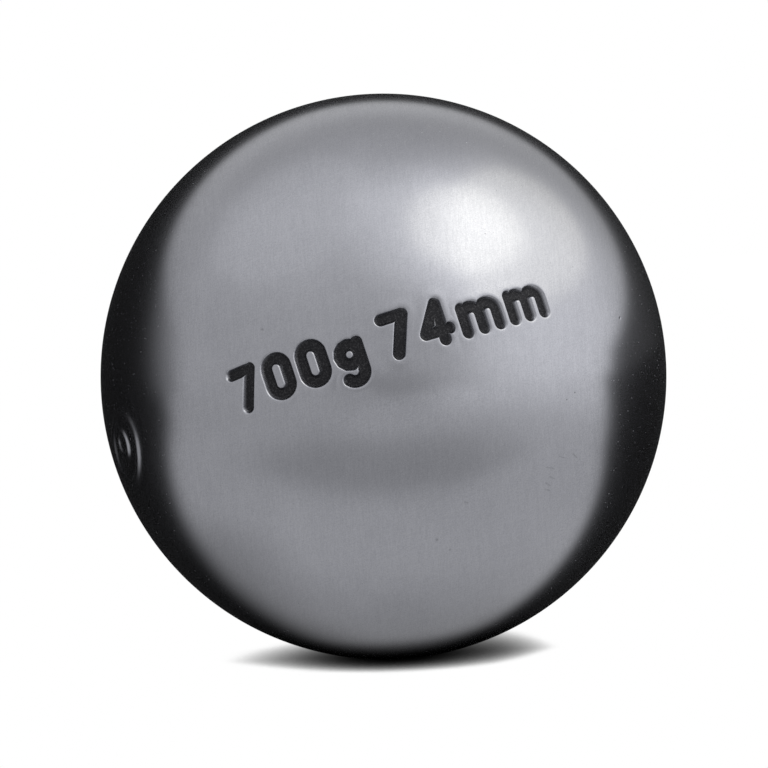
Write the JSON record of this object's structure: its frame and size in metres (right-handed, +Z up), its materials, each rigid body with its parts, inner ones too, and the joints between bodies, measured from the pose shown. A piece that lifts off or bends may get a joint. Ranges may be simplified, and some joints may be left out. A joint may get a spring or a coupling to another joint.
{
  "type": "petanque boule",
  "caption": "Hollow steel ball of welded half shells, brushed all over and stamped with its weight and diameter, made to be thrown from one hand.",
  "frame": {"origin": "centre of the ball", "axes": "+Z up, +Y along the axis of the weld seam from the stamped face to the back, +X to the right of the stamped face"},
  "size_m": [0.074, 0.074, 0.074],
  "materials": {
    "shell_steel": "forged stainless steel, ground and brushed, with fine streaks and light handling marks",
    "weld_steel": "weld metal turned flush with the ball and brushed with it, so that the seam hardly shows"
  },
  "bodies": {
    "root": {"front_half_shell": "shell_steel", "rear_half_shell": "shell_steel", "weld_bead": "weld_steel"}
  },
  "joints": []
}
